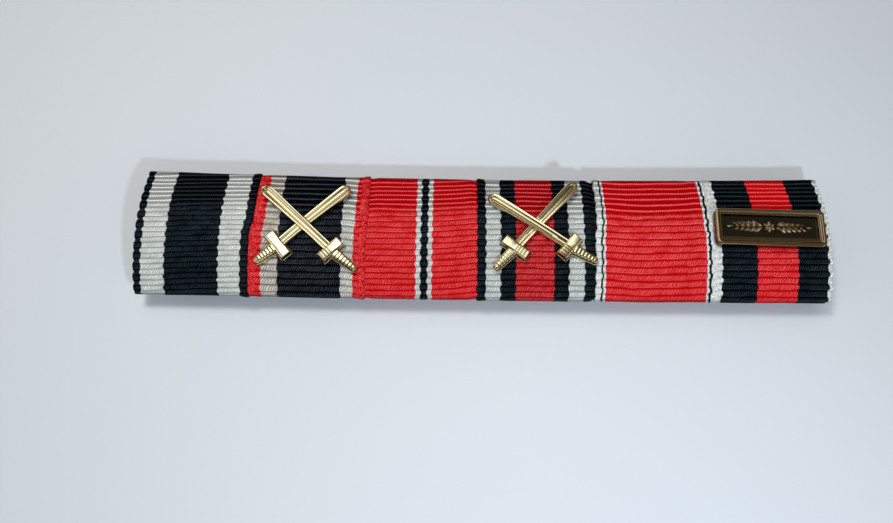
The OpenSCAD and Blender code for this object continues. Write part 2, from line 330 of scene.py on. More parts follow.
# The fold at the upper edge stands out a little further than the one at the lower edge
FOLD_FULLNESS = 0.2
HEIGHT_UNEVEN = 0.03
LOWEST = 0.01

# Painted shade of the cloth over each fold: where it begins, past the end of the front, and how dark it
# is; its width, and the share of the fold from which on it fades
UPPER_SHADE = (-0.35, 0.45)
LOWER_SHADE = (0.15, 0.28)
SHADE_WIDTH = 0.7
SHADE_FADES = 0.6

# Steps of the mesh along a ribbon, and its columns across
FRONT_STEP = 0.07
FOLD_STEP = 0.11
TAIL_STEP = 0.16
COLUMN_STEP = 0.17
EDGE_COLUMNS = [0.0, 0.012, 0.045, 0.09, 0.15, 0.22, 0.31, 0.42, 0.55, 0.7]
UNDER_COLUMNS = 9


def path_stations():
    """Distances along the outside of a ribbon, from the end of one tail to the end of the other."""
    def span(low, high, step):
        return np.linspace(low, high, max(2, round((high - low) / step) + 1))
    front = span(0, FRONT_HALF, FRONT_STEP)
    fold = span(FRONT_HALF, FRONT_HALF + FOLD_LENGTH, FOLD_STEP)
    tail = span(FRONT_HALF + FOLD_LENGTH, HALF_LENGTH, TAIL_STEP)
    half = np.concatenate([front, fold[1:], tail[1:]])
    return np.concatenate([-half[:0:-1], half])


def path_frame(s):
    """Place (y, z) on the plate's middle and outward direction at each distance along a ribbon."""
    side = np.sign(s)
    along = np.abs(s)
    on_fold = along > FRONT_HALF
    on_tail = along > FRONT_HALF + FOLD_LENGTH
    angle = np.where(on_fold, EDGE_ANGLE, along / FRONT_RADIUS)
    turn = np.where(on_fold, np.minimum((along - FRONT_HALF) / FOLD_OUTER, math.pi), 0.0)
    back = EDGE_ANGLE - (along - FRONT_HALF - FOLD_LENGTH) / (PLATE_MIDDLE - FOLD_OUTER)
    angle = np.where(on_tail, back, angle)
    base_y = side * PLATE_MIDDLE * np.sin(angle)
    base_z = AXIS_Z + PLATE_MIDDLE * np.cos(angle)
    out_y = side * np.sin(angle + turn)
    out_z = np.cos(angle + turn)
    return base_y, base_z, out_y, out_z


def ribbon_columns(width):
    """Distances from the left border, over the outside and back along the inside, and which lie inside."""
    last = EDGE_COLUMNS[-1]
    middle = np.arange(last, width - last, COLUMN_STEP)[1:]
    over = np.concatenate([EDGE_COLUMNS, middle, width - np.array(EDGE_COLUMNS[::-1])])
    under = np.linspace(EDGE_ROUND, width - EDGE_ROUND, UNDER_COLUMNS)[::-1]
    columns = np.concatenate([over, under])
    return columns, np.arange(len(columns)) >= len(over)


def rib_round(phase):
    """Round back of a rib: 1 on its crest, 0 in the furrow."""
    return 1 - np.abs(2 * (phase - np.round(phase))) ** 2.6


def ripple(a, b, seed):
    """Gentle unevenness between -1 and 1, over two lengths in millimetres."""
    rng = np.random.default_rng(seed)
    total = 0
    for _ in range(5):
        fa, fb = rng.uniform(0.15, 0.9), rng.uniform(0.25, 1.3)
        total = total + np.sin(fa * a + rng.uniform(0, 6.3)) * np.sin(fb * b + rng.uniform(0, 6.3))
    return total / 3


def rib_phase(data, x, s, seed):
    """Count of ribs from the crown, a whole number on each crest."""
    crest_x, crest_s = zip(*data["crests"])
    crest = np.interp(x, crest_x, crest_s)
    phase = (s - crest) / data["pitch"] + data.get("growth", 0.0) * s ** 2
    return phase + 0.06 * ripple(x, s * 2, seed) + 0.04 * ripple(x * 2.5, s * 4, seed + 5)


def rib_hollows(data, x, s, phase, borders, seed):
    """How far the cloth lies in from its crests, by its ribs and by the beads of its selvages."""
    zones = []
    for selvage, distance in zip(data["selvage"], borders):
        zones.append(1 - smoothstep(SELVAGE_CORE * selvage, selvage, distance))
    beaded = zones[0] * data["beads"][0] + zones[1] * data["beads"][1]
    depth = RIB_DEPTH * (data["pitch"] / USUAL_PITCH) * (1 + DEPTH_UNEVEN * ripple(x * 3, s, seed + 1))
    depth = depth * (1 - TIGHT_LOSS * smoothstep(TIGHT_FROM, TIGHT_TO, s))
    bent = smoothstep(FRONT_HALF - FOLD_LOSS_BEFORE, FRONT_HALF + FOLD_LOSS_AFTER, np.abs(s))
    depth = depth * (1 - FOLD_LOSS * bent)
    ribs = depth * (1 - rib_round(phase)) * (1 - SELVAGE_LOSS * np.maximum(*zones))
    return ribs + BEAD_DEPTH * beaded * depth * (1 - rib_round(phase / 2))


def cloth_height(data, x, s, hollows, borders, inside, seed):
    """Distance of the cloth's surface from the plate's middle."""
    near = np.minimum(*borders)
    round_off = np.sqrt(np.clip(1 - (np.clip(EDGE_ROUND - near, 0, None) / EDGE_ROUND) ** 2, 0, 1))
    inward = CLOTH / 2 + round_off * (hollows - CLOTH / 2)
    inward = np.where(inside, CLOTH / 2 + round_off * CLOTH / 2, inward)
    lift = 0
    for most, distance in zip(data["lift"], borders):
        lift = lift + most * (1 - smoothstep(*LIFT_FADE, distance))
    lift = np.where(inside, np.maximum(lift, 0), lift)
    over_fold = (s - FRONT_HALF) / FOLD_LENGTH
    full = FOLD_FULLNESS * np.sin(math.pi * np.clip(over_fold * 1.2 + 0.3, 0, 1)) ** 2
    uneven = np.where(inside, 0, HEIGHT_UNEVEN * ripple(x, s, seed + 2))
    return FOLD_OUTER - inward + lift + full + uneven


def moved_edges(data, x, s, phase, borders, seed):
    """Places along the bar with the lean of both edges and the loops of their beads."""
    above = smoothstep(*LEAN_TURN, s)
    for distance, (high, low) in zip(borders, data.get("lean", NO_LEAN)):
        x = x + (low + (high - low) * above) * (1 - smoothstep(*LEAN_FADE, distance))
    frayed = FRAYED * ripple(s * 2, s * 3, seed + 3)
    for aside, distance, beads in zip((-1, 1), borders, data["beads"]):
        loop = BEAD_LOOP * beads * (rib_round(phase / 2) - 0.5) + frayed
        x = x + aside * loop * (1 - smoothstep(0.0, LOOP_REACH, distance))
    return x


def fold_shades(s):
    """How dark the painted shade makes the cloth over the folds."""
    past_front = np.abs(s) - FRONT_HALF
    begin, darkest = (np.where(s > 0, *both) for both in zip(UPPER_SHADE, LOWER_SHADE))
    shade = darkest * smoothstep(0, SHADE_WIDTH, past_front - begin)
    return shade * (1 - smoothstep(SHADE_FADES * FOLD_LENGTH, FOLD_LENGTH, past_front))


def ribbon_mesh(data, seed):
    """Points, faces, (width, rib count) coordinates and painted shade over the folds of one ribbon."""
    left, right = data["span"]
    stations = path_stations()
    columns, inside = ribbon_columns(right - left)
    q, s = np.meshgrid(columns, stations)
    borders = (q, right - left - q)
    x = left + q
    phase = rib_phase(data, x, s, seed)
    hollows = rib_hollows(data, x, s, phase, borders, seed)
    height = cloth_height(data, x, s, hollows, borders, inside[None, :], seed)
    x = moved_edges(data, x, s, phase, borders, seed)

    base_y, base_z, out_y, out_z = (part[:, None] for part in path_frame(stations))
    spread = 1 + SPREAD * (x * x - BOW_MEAN)
    y = (base_y + height * out_y) * spread + bowed(x)
    z = np.maximum(base_z + height * out_z, LOWEST)
    verts = np.stack([x, y, z], axis=-1).reshape(-1, 3)
    coords = np.stack([q, phase], axis=-1).reshape(-1, 2)
    return verts, ring_faces(*x.shape), coords, fold_shades(s).ravel()


# Width of a yarn, how many yarns aside it moves from one furrow to the next, and from rib to rib, and how
# many more or fewer there are in places
YARN = 0.295
YARN_SLANT = 1.7
YARN_OFFSET = 0.37
YARN_CROWDING = 1.9
# How far single yarns pass a stripe's border, and how sharp the border is
YARN_PAST_BORDER = 0.2
BORDER_SHARPNESS = 16.0
# Selvages with fewer beads than this have ribs that dissolve, from this share of their width outward
BEADED_FROM = 0.5
DISSOLVED_CORE = 0.7
DISSOLVED_WANDER = 2.2
# How dark the painted shade makes the flanks of tight ribs and the furrows, and how bright the painted
# highlight makes the line along tight ribs
FLANK_PAINTED_SHADE = 0.72
FURROW_PAINTED_SHADE = 0.75
LINE_PAINTED_LIGHT = 1.14
# Specular level of matt and of glossy yarns, and between them
MATT_SPECULAR = 0.02
GLOSSY_SPECULAR = 0.14
USUAL_SPECULAR = 0.06
CLOTH_ROUGHNESS = 0.5
YARN_RELIEF = 0.02


def striped_colours(tree, data, across, ribs, wander):
    """Colours in shade and painted highlight colours where the yarns shine; stripe borders step out and in
    from rib to rib.
    """
    step = calc(tree, "COSINE", times(tree, ribs, math.pi))
    yarn_edge = times(tree, wander, YARN_PAST_BORDER)
    shade, shine = data["stripes"][0][0]
    for (_, border, out), (after, _, _) in zip(data["stripes"], data["stripes"][1:]):
        edge = calc(tree, "MULTIPLY_ADD", step, out, border - data["span"][0])
        past = calc(tree, "SUBTRACT", across, calc(tree, "ADD", edge, yarn_edge))
        mask = calc(tree, "MULTIPLY_ADD", past, BORDER_SHARPNESS, 0.5, clamp=True)
        shade = blend_colours(tree, mask, shade, after[0])
        shine = blend_colours(tree, mask, shine, after[1])
    return shade, shine


def dissolved_selvages(tree, data, across):
    """How far the ribs dissolve, on selvages that have no beads."""
    dissolved = 0.0
    borders = (across, calc(tree, "SUBTRACT", data["span"][1] - data["span"][0], across))
    for inward, selvage, beads in zip(borders, data["selvage"], data["beads"]):
        if beads < BEADED_FROM:
            zone = ramp(tree, inward, DISSOLVED_CORE * selvage, selvage, 1.0, 0.0)
            dissolved = calc(tree, "ADD", zone, dissolved)
    return dissolved


def yarn_dots(tree, across, ribs, count, part):
    """Painted light on the yarns, which run over each rib at a slant, a little closer here and wider
    there.
    """
    crowding = noise(tree, combine(tree, across, ribs), 1.2, 2.0)
    yarn_count = calc(tree, "MULTIPLY_ADD", across, 1 / YARN, times(tree, count, YARN_OFFSET))
    slanting = calc(tree, "MULTIPLY_ADD", part, -YARN_SLANT, yarn_count)
    slanting = calc(tree, "MULTIPLY_ADD", crowding, YARN_CROWDING, slanting)
    yarn = calc(tree, "COSINE", times(tree, slanting, 2 * math.pi))
    single = tree.nodes.new("ShaderNodeTexWhiteNoise")
    single.noise_dimensions = "2D"
    tree.links.new(combine(tree, calc(tree, "ROUND", slanting), count), single.inputs["Vector"])
    dots = calc(tree, "MULTIPLY_ADD", single.outputs["Value"], 0.6, yarn)
    return ramp(tree, dots, -0.1, 1.4, 0.0, 1.0)


def rib_line(tree, part, below, core, reach):
    """A line along each rib, a share of the pitch below its crest."""
    off_line = calc(tree, "ABSOLUTE", calc(tree, "ADD", part, below))
    return ramp(tree, off_line, core, reach, 1.0, 0.0)


def loose_painted_shine(tree, part, off_crest, dots, cloud):
    """Painted shine and gloss of loose ribs: painted highlight dashes over their backs and a painted line
    of light along their lower shoulders.
    """
    dashes = times(tree, dots, ramp(tree, off_crest, 0.2, 0.4, 1.0, 0.0))
    dashes = times(tree, dashes, ramp(tree, cloud, 0.35, 0.65, 0.72, 1.0))
    shoulder = rib_line(tree, part, 0.33, 0.04, 0.11)
    shoulder = times(tree, shoulder, ramp(tree, cloud, 0.40, 0.56, 0.2, 1.0))
    shoulder = times(tree, shoulder, ramp(tree, dots, 0.0, 1.0, 0.6, 1.0))
    return calc(tree, "MAXIMUM", dashes, shoulder)


def cloth_material(name, data):
    """Ribbed silk-like cloth: stripes with stepped borders, slanting yarns over each rib, with painted
    highlights and painted shade.
    """
    material, tree, shader = material_with(name)
    uv = tree.nodes.new("ShaderNodeUVMap")
    uv.uv_map = "cloth"
    split = tree.nodes.new("ShaderNodeSeparateXYZ")
    tree.links.new(uv.outputs[0], split.inputs[0])
    across, ribs = split.outputs[0], split.outputs[1]

    wander = unevenness(tree, combine(tree, across, ribs), 1.3, 1.0)
    shade, shine = striped_colours(tree, data, across, ribs, wander)
    above_crown = times(tree, ribs, data["pitch"])
    uneven = unevenness(tree, combine(tree, across, ribs), 2.4, 2.0)
    dissolved = dissolved_selvages(tree, data, across)
    ribs = calc(tree, "MULTIPLY_ADD", times(tree, uneven, dissolved), DISSOLVED_WANDER, ribs)

    # Place between one furrow and the next, from -0.5 to 0.5
    count = calc(tree, "ROUND", ribs)
    part = calc(tree, "SUBTRACT", ribs, count)
    off_crest = calc(tree, "ABSOLUTE", part)

    # Towards the upper edge the yarns are drawn tight; there the painted highlight is only a dotted line
    # along each rib, and painted shade lies on the flanks
    upper_zone_painted_light = calc(tree, "MULTIPLY_ADD", wander, 1.5, above_crown)
    upper_zone_painted_light = ramp(tree, upper_zone_painted_light, TIGHT_FROM, TIGHT_TO, 0.0, 1.0)
    upper_zone_painted_light = times(tree, upper_zone_painted_light, calc(tree, "SUBTRACT", 1.0, dissolved))
    dots = yarn_dots(tree, across, ribs, count, part)
    cloud = noise(tree, combine(tree, times(tree, across, 0.8), ribs), 0.5, 2.0)
    line = rib_line(tree, part, 0.15, 0.05, 0.17)
    upper_painted_shine = times(tree, ramp(tree, dots, 0.0, 1.0, 0.35, 1.15), line)
    painted_shine_and_gloss = between(tree, upper_zone_painted_light, loose_painted_shine(tree, part, off_crest, dots, cloud), upper_painted_shine)
    # Painted highlight colour where the yarns shine, over their colour in shade
    colour = blend_colours(tree, painted_shine_and_gloss, shade, shine)

    # Painted shade darkens the furrows, the flanks of the tight ribs and the folds; a painted highlight
    # brightens the line along tight ribs
    loose_painted_shade = ramp(tree, off_crest, 0.37, 0.49, 1.0, FURROW_PAINTED_SHADE)
    upper_painted_shade_and_light = ramp(tree, line, 0.0, 1.0, data.get("flank_painted_shade", FLANK_PAINTED_SHADE), LINE_PAINTED_LIGHT)
    painted_shade_and_light = between(tree, upper_zone_painted_light, loose_painted_shade, upper_painted_shade_and_light)
    painted_shade_and_light = times(tree, painted_shade_and_light, calc(tree, "SUBTRACT", 1.0, stored(tree, "fold_shade")))
    colour = blend_colours(tree, 1.0, colour, combine(tree, painted_shade_and_light, painted_shade_and_light, painted_shade_and_light), "MULTIPLY")
    tree.links.new(colour, shader.inputs["Base Color"])
    shader.inputs["Roughness"].default_value = CLOTH_ROUGHNESS
    specular = shader.inputs["Specular IOR Level"]
    specular.default_value = USUAL_SPECULAR
    feed(tree, specular, ramp(tree, painted_shine_and_gloss, 0.0, 1.0, MATT_SPECULAR, GLOSSY_SPECULAR))
    tree.links.new(bump(tree, dots, YARN_RELIEF * MM, 0.7), shader.inputs["Normal"])
    return material


def make_ribbon(node, data, seed):
    verts, faces, coords, shade = ribbon_mesh(data, seed)
    material = cloth_material(node + "_cloth", data)
    piece = new_piece(node.replace("_", "_cloth_"), verts, faces, material)
    layer = piece.data.uv_layers.new(name="cloth")
    corner_verts = np.empty(len(piece.data.loops), dtype=np.int64)
    piece.data.loops.foreach_get("vertex_index", corner_verts)
    layer.data.foreach_set("uv", coords[corner_verts].astype(np.float32).ravel())
    store_values(piece, "fold_shade", shade)
    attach(piece, "root")
    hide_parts(node)
    return piece


# Metal

# Columns: colour, dark colour of the cloudy tarnish and of the painted shade in hollows and on side walls,
# roughness
METALS = {
    "pale_gold": ((0.97, 0.84, 0.49), (0.26, 0.14, 0.045), 0.17),
    "dark_bronze": ((0.48, 0.36, 0.20), (0.13, 0.075, 0.033), 0.16),
    # Field of the plaque: its dark colour is a painted dark reflection
    "painted_dark_reflection_bronze": ((0.125, 0.122, 0.094), (0.045, 0.040, 0.032), 0.12),
    "worn_bronze": ((0.62, 0.50, 0.30), (0.03, 0.025, 0.018), 0.26),
    "plain_steel": ((0.50, 0.50, 0.50), (0.25, 0.25, 0.25), 0.38),
}
# Scales of the grain in the gloss and of the cloudy tarnish, in repeats per metre
GRAIN_SCALE = 2600.0
CLOUD_SCALE = 420.0
TARNISH = 0.35
METAL_RELIEF = 0.006


def metal_material(name, colour, dark, roughness):
    """Cast or drawn metal, with painted shade in its hollows and on its side walls, cloudy tarnish and a
    grain in its gloss.
    """
    material, tree, shader = material_with(name)
    place = tree.nodes.new("ShaderNodeTexCoord").outputs["Object"]
    grain = noise(tree, place, GRAIN_SCALE, 4.0, 0.6)
    cloud = noise(tree, place, CLOUD_SCALE, 2.0)
    uneven = calc(tree, "SUBTRACT", cloud, 0.5)
    # The stored mark is painted shade in hollows and on side walls; the cloud adds tarnish
    tarnish_and_painted_shade = calc(tree, "MULTIPLY_ADD", uneven, TARNISH, stored(tree, "dark"), clamp=True)
    tree.links.new(blend_colours(tree, tarnish_and_painted_shade, colour, dark), shader.inputs["Base Color"])
    shader.inputs["Metallic"].default_value = 1.0
    rough = ramp(tree, grain, 0.3, 0.7, roughness * 0.8, roughness * 1.3)
    feed(tree, shader.inputs["Roughness"], rough)
    tree.links.new(bump(tree, cloud, METAL_RELIEF * MM, 0.5), shader.inputs["Normal"])
    return material


def read_rows(items, key, kind, width):
    """Values of a mesh's points, normals or edges, one row each."""
    values = np.empty(len(items) * width, dtype=kind)
    items.foreach_get(key, values)
    return values.reshape(-1, width)


def mark_dark(piece, reach, walls):
    """Stores the painted shade of each point, from 0 to 1: how much it lies in a hollow or on a side wall.
    """
    mesh = piece.data
    points = read_rows(mesh.vertices, "co", np.float64, 3) / MM
    normals = read_rows(mesh.vertex_normals, "vector", np.float64, 3)
    edges = read_rows(mesh.edges, "vertices", np.int64, 2)
    total, weight = np.zeros(len(points)), np.zeros(len(points))
    for a, b in (edges.T, edges.T[::-1]):
        step = points[b] - points[a]
        rise = (step * normals[a]).sum(axis=1) / (np.linalg.norm(step, axis=1) + 1e-9)
        np.add.at(total, a, rise)
        np.add.at(weight, a, 1)
    hollow = np.clip(total / np.maximum(weight, 1) / reach, 0, 1)
    wall = 1 - smoothstep(0.15, 0.75, normals[:, 2])
    store_values(piece, "dark", np.clip(1.5 * hollow + walls * wall, 0, 1))


# Swords

SWORD_LENGTH = 16.0
HILT = 4.0
BLADE_ROOT = 0.60
BLADE_TIP = 0.80
BLADE_TOP = 0.86
TIP_LENGTH = 1.15
TIP_RIM = 0.30
TIP_DROP = 0.14
EDGE_SHOULDER = 0.11
# Groove of the blade: share of its width, depth, and the half width from which on it is fully deep
FULLER_SHARE = 0.50
FULLER_DEPTH = 0.2
FULLER_FULL = 0.25
# A blade is lower where the other one passes over it
CROSSING_DIP = 0.3
CROSSING_REACH = 0.5
# Guard, its rings on one half, and its narrower waist where it meets the blade
GUARD_WIDTH = 0.86
GUARD_TOP = 0.98
GUARD_SHOULDER = 0.16
RING_PITCH = 0.42
RING_START = 0.15
RING_DEPTH = 0.09
RING_NARROWING = 0.02
WAIST_REACH = 0.6
WAIST_NARROWING = 0.05
WAIST_DROP = 0.03
# Grip with turns of wire
GRIP_ROOT = 0.80
GRIP_END = 0.52
GRIP_SHOULDER = 0.13
GRIP_END_ROUND = 0.36
GRIP_TURNS = 8
WIRE_DEPTH = 0.024
# The cast hilts stand on a thin flange that shows as a rim round them
FLANGE = 0.15
FLANGE_TOP = 0.27
# The swords bend a little towards the arch of the bar, with the square of the distance from its middle
SWORD_BEND = 0.0139
# The first sword of a pair stands this much over the second
FIRST_SWORD_LIFT = 0.005

# The two swords of each pair. Columns: tip, middle of the guard and end of the grip, along and across the
# bar, share of the blade where the other sword passes over it, if it does, half length of the guard, its
# turn in degrees out of the square, and which half of it has rings, if any
SWORD_PAIRS = {
    "crossed_swords_left": [
        ((-28.52, 5.73), (-19.20, -2.77), (-15.97, -5.25), None, 1.72, -4.6, 1),
        ((-17.23, 5.95), (-25.86, -2.21), (-28.78, -4.45), 0.344, 1.95, -3.6, 0)],
    "crossed_swords_right": [
        ((0.77, 4.87), (10.95, -1.93), (14.48, -3.88), None, 1.78, -6.4, 1),
        ((12.13, 6.92), (4.11, -2.17), (1.48, -4.95), 0.333, 1.95, 4.9, -1)],
}


def mirrored(side, middle=()):
    """A section from one side's (across, height) points, over those in its middle, to the other's."""
    return [*side, *middle, *((-w, z) for w, z in side[::-1])]


def blade_profile(half, groove, top, depth):
    """Section of a blade: side walls, round shoulders, rims and the groove between them."""
    shoulder = min(EDGE_SHOULDER, half * 0.4)
    side = [
        (half * 0.96, 0.0), (half, 0.05), (half, top - 0.32), (half - 0.15 * shoulder, top - 0.18),
        (half - 0.45 * shoulder, top - 0.06), (half - shoulder, top), (groove * 1.12, top),
        (groove, top - 0.12 * depth), (groove * 0.62, top - 0.9 * depth), (groove * 0.5, top - depth),
    ]
    return mirrored(side, [(0.0, top - 0.86 * depth)])


def blade_rings(crossed_at):
    """Blade from the guard to its round tip, with a groove between two rims, lower where crossed."""
    tip_start = SWORD_LENGTH - TIP_LENGTH
    straight = np.linspace(HILT, tip_start, 60)
    tip = tip_start + TIP_LENGTH * np.sin(np.linspace(0, 1, 18)[1:] * math.pi / 2)
    crossing = HILT + crossed_at * (SWORD_LENGTH - HILT) if crossed_at else -SWORD_LENGTH
    rings = []
    for t in np.concatenate([straight, tip]):
        grow = min((t - HILT) / (tip_start - HILT), 1)
        full_half = BLADE_ROOT + (BLADE_TIP - BLADE_ROOT) * grow ** 1.3
        into_tip = max(0.0, (t - tip_start) / TIP_LENGTH)
        half = full_half * math.sqrt(max(1 - into_tip ** 2, 0.0004))
        into_rim = min(into_tip * TIP_LENGTH / (TIP_LENGTH - TIP_RIM), 1)
        groove = FULLER_SHARE * full_half * math.sqrt(max(1 - into_rim ** 2, 0.0))
        depth = FULLER_DEPTH * min(1, groove / FULLER_FULL)
        dip = CROSSING_DIP * math.exp(-((t - crossing) / CROSSING_REACH) ** 4)
        top = BLADE_TOP - TIP_DROP * into_tip ** 3 - dip
        profile = blade_profile(half, max(groove, half * 0.2), top, depth)
        rings.append(np.array([(t, w, z) for w, z in profile]))
    return rings


def hilt_profile(half, top, shoulder):
    """Section of the grip or the guard: flanges, grooves beside them, walls and back."""
    inner = max(half - FLANGE, 0.3 * half)
    side = [
        (half * 0.96, 0.0), (half, 0.05), (half, FLANGE_TOP - 0.11), (half - 0.02, FLANGE_TOP - 0.04),
        (half - 0.06, FLANGE_TOP), (half - 0.10, FLANGE_TOP - 0.02), (inner, FLANGE_TOP - 0.12),
        (inner - 0.01, FLANGE_TOP), (inner - 0.03, top - 1.1 * shoulder),
        (inner - 0.25 * shoulder, top - 0.6 * shoulder), (inner - 0.7 * shoulder, top - 0.25 * shoulder),
        (inner - 1.3 * shoulder, top - 0.07 * shoulder), (inner - 2.0 * shoulder, top),
    ]
    return mirrored([(max(w, 0.02), min(z, top)) for w, z in side])


def grip_rings():
    """Grip with turns of wire, wide at the guard and round at its end."""
    rings = []
    stations = [GRIP_END_ROUND * (1 - math.cos(a)) for a in np.linspace(0.12, math.pi / 2, 9)]
    for t in np.concatenate([stations, np.linspace(GRIP_END_ROUND, HILT, 100)[1:]]):
        grow = max(0.0, (t - GRIP_END_ROUND) / (HILT - GRIP_END_ROUND))
        half = GRIP_END + (GRIP_ROOT - GRIP_END) * grow
        if t < GRIP_END_ROUND:
            half *= math.sqrt(max(1 - ((GRIP_END_ROUND - t) / GRIP_END_ROUND) ** 2, 0.03))
        wire = math.cos(math.pi * grow * GRIP_TURNS) ** 2 if 0.06 < grow < 0.9 else 1.0
        top = 0.40 + 0.55 * half - WIRE_DEPTH * (1 - wire)
        rings.append(np.array([(t, w, z) for w, z in hilt_profile(half, top, GRIP_SHOULDER)]))
    return rings


def guard_outline(half_length):
    """Places along the guard and its height there, from one end to the other."""
    end_face = half_length - FLANGE
    flat = [(w, GUARD_TOP) for w in np.linspace(0, end_face - 0.08, 60)]
    end = [
        (end_face - 0.03, GUARD_TOP - 0.03), (end_face, GUARD_TOP - 0.12),
        (end_face + 0.01, FLANGE_TOP - 0.08), (half_length - 0.05, FLANGE_TOP),
        (half_length, FLANGE_TOP - 0.07),
    ]
    half_bar = flat + end
    return [(-w, top) for w, top in half_bar[:0:-1]] + half_bar


def guard_rings(half_length, ringed):
    """Broad guard bar across the sword, flat on top, with square ends and rings on one half or none."""
    rings = []
    end_face = half_length - FLANGE
    for w, top in guard_outline(half_length):
        waist = math.exp(-(w / WAIST_REACH) ** 2)
        on_half = w * ringed
        grooved = smoothstep(0.1, 0.25, on_half)
        grooved = grooved * (1 - smoothstep(end_face - 0.2, end_face - 0.1, on_half))
        wave = math.cos(2 * math.pi * (abs(w) - RING_START) / RING_PITCH)
        groove = grooved * (0.5 + 0.5 * wave) ** 2
        width = GUARD_WIDTH - WAIST_NARROWING * waist - RING_NARROWING * groove
        if abs(w) < end_face:
            top -= RING_DEPTH * groove + WAIST_DROP * waist
        profile = hilt_profile(width, top, GUARD_SHOULDER)
        rings.append(np.array([(HILT + u, w, z) for u, z in profile]))
    return rings


def placed(part, low, high, start, end, lift):
    """Lays a sword's part along the line from start, where it has the length low, to end, at high."""
    verts, faces = part
    run = np.array(end) - np.array(start)
    along = run / np.hypot(*run)
    t = np.interp(verts[:, 0], (low, high), (0, np.hypot(*run)))
    x = start[0] + t * along[0] - verts[:, 1] * along[1]
    y = start[1] + t * along[1] + verts[:, 1] * along[0] - BOW * BOW_MEAN
    z = verts[:, 2] + lift + CROWN_Z + SEAT_GAP - SWORD_BEND * y ** 2
    return outward(np.stack([x, y, z], axis=-1), faces)


def sword_parts(sword, lift):
    """Blade, grip and guard of one sword in its place."""
    tip, guard, grip_end, crossed_at, half_length, turn, ringed = sword
    square = math.atan2(tip[1] - guard[1], tip[0] - guard[0]) + math.radians(turn)
    ahead = np.array([math.cos(square), math.sin(square)])
    bar = loft(guard_rings(half_length, ringed))
    return [
        placed(loft(blade_rings(crossed_at)), HILT, SWORD_LENGTH, guard, tip, lift),
        placed(loft(grip_rings()), 0.0, HILT, grip_end, guard, lift),
        placed(bar, HILT - 1, HILT + 1, np.array(guard) - ahead, np.array(guard) + ahead, lift),
    ]


def make_swords(node, swords, material):
    parts = [*sword_parts(swords[0], FIRST_SWORD_LIFT), *sword_parts(swords[1], 0.0)]
    verts, faces = joined(parts)
    pair = new_piece(node.replace("crossed", "cast"), verts, faces, material, smooth_angle=38)
    mark_dark(pair, reach=0.35, walls=0.45)
    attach(pair, "root")
    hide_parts(node)
    return pair


# Plaque

PLAQUE_SIZE = (13.85, 4.88)
PLAQUE_CORNER = 0.75
SMALLEST_CORNER = 0.12
# Place along and across the bar, and turn in degrees
PLAQUE_PLACE = (36.36, 0.80, -1.0)
FIELD_Z = 0.55
# Distance in from the outline, and height, from the back edge over the rim to the field
PLAQUE_STEPS = [
    (0.08, 0.0), (0.0, 0.07), (0.0, 0.98), (0.03, 1.09), (0.09, 1.165), (0.17, 1.2), (0.40, 1.2),
    (0.43, 1.185), (0.575, 0.985), (0.60, 0.96), (0.74, 0.95), (0.78, 0.90), (0.81, 0.62), (0.85, FIELD_Z),
]
# The last steps, down to the field, are as dark as the field, whose dark colour is a painted dark
# reflection
FIELD_STEPS = 3
LEAF_PAIRS = 5
LEAF_LENGTH = 1.6
LEAF_ANGLE = 32.0
PETALS = 6
ROSETTE = 0.85
RELIEF = 0.34
# Rosette and sprays lie this far above the middle of the field, over the ledge
ORNAMENT_Y = 0.2
# Ledge along the lower side of the field: inset of its ends, and its section in from there
LEDGE_INSET = 0.74
LEDGE_SECTION = [(-0.03, FIELD_Z - 0.1), (-0.03, 0.92), (0.32, 0.86), (0.42, 0.80), (0.47, FIELD_Z - 0.1)]


def turn_about_z(degrees):
    return np.array(Matrix.Rotation(math.radians(degrees), 3, "Z"))


def rounded_ring(inset, z):
    """Outline of the plaque with round corners, some distance in and at some height."""
    length, width = PLAQUE_SIZE[0] - 2 * inset, PLAQUE_SIZE[1] - 2 * inset
    corner = max(PLAQUE_CORNER - 0.85 * inset, SMALLEST_CORNER)
    points = []
    for quarter, (sx, sy) in enumerate([(1, 1), (-1, 1), (-1, -1), (1, -1)]):
        for a in np.linspace(0, math.pi / 2, 9) + quarter * math.pi / 2:
            points.append((sx * (length / 2 - corner) + corner * math.cos(a),
                           sy * (width / 2 - corner) + corner * math.sin(a), z))
    return np.array(points)


def leaf_part(along, angle, length, width):
    """Domed leaf with a raised midrib, from its place along the plaque in the direction of angle."""
    rings = []
    for t in np.linspace(0.02, 0.98, 14):
        half = width / 2 * math.sin(math.pi * t ** 0.85) ** 0.8
        tall = RELIEF * (0.35 + 0.65 * math.sin(math.pi * min(t * 1.1, 1.0)) ** 0.5)
        side = [(half, 0.0), (half * 0.8, tall * 0.5), (half * 0.35, tall * 0.72)]
        profile = [*mirrored(side, [(0.0, tall)]), (0.0, -0.1)]
        rings.append(np.array([(t * length, w, FIELD_Z + z) for w, z in profile]))
    verts, faces = loft(rings)
    return verts @ turn_about_z(angle).T + np.array([along, ORNAMENT_Y, 0.0]), faces


def spray_parts(sign, side):
    """Laurel spray of a stem, pairs of leaves and one leaf at its end, towards one side."""
    length = PLAQUE_SIZE[0] / 2 - PLAQUE_STEPS[-1][0] - ROSETTE
    pitch = (length - LEAF_LENGTH) / LEAF_PAIRS
    parts = [leaf_part(sign * ROSETTE * 0.8, side, length - 0.5, 0.2)]
    for k in range(LEAF_PAIRS):
        leaf = LEAF_LENGTH * (1 - 0.06 * k)
        for turn in (-LEAF_ANGLE, LEAF_ANGLE):
            parts.append(leaf_part(sign * (ROSETTE + k * pitch), side + turn, leaf, 0.34 * leaf))
    parts.append(leaf_part(sign * (ROSETTE + LEAF_PAIRS * pitch), side, LEAF_LENGTH * 0.8, 0.4))
    return parts


def ledge_part():
    half_length, low = PLAQUE_SIZE[0] / 2 - LEDGE_INSET, LEDGE_INSET - PLAQUE_SIZE[1] / 2
    section = [(low + y, z) for y, z in LEDGE_SECTION]
    return loft([np.array([(x, y, z) for y, z in section]) for x in (-half_length, 0.0, half_length)])


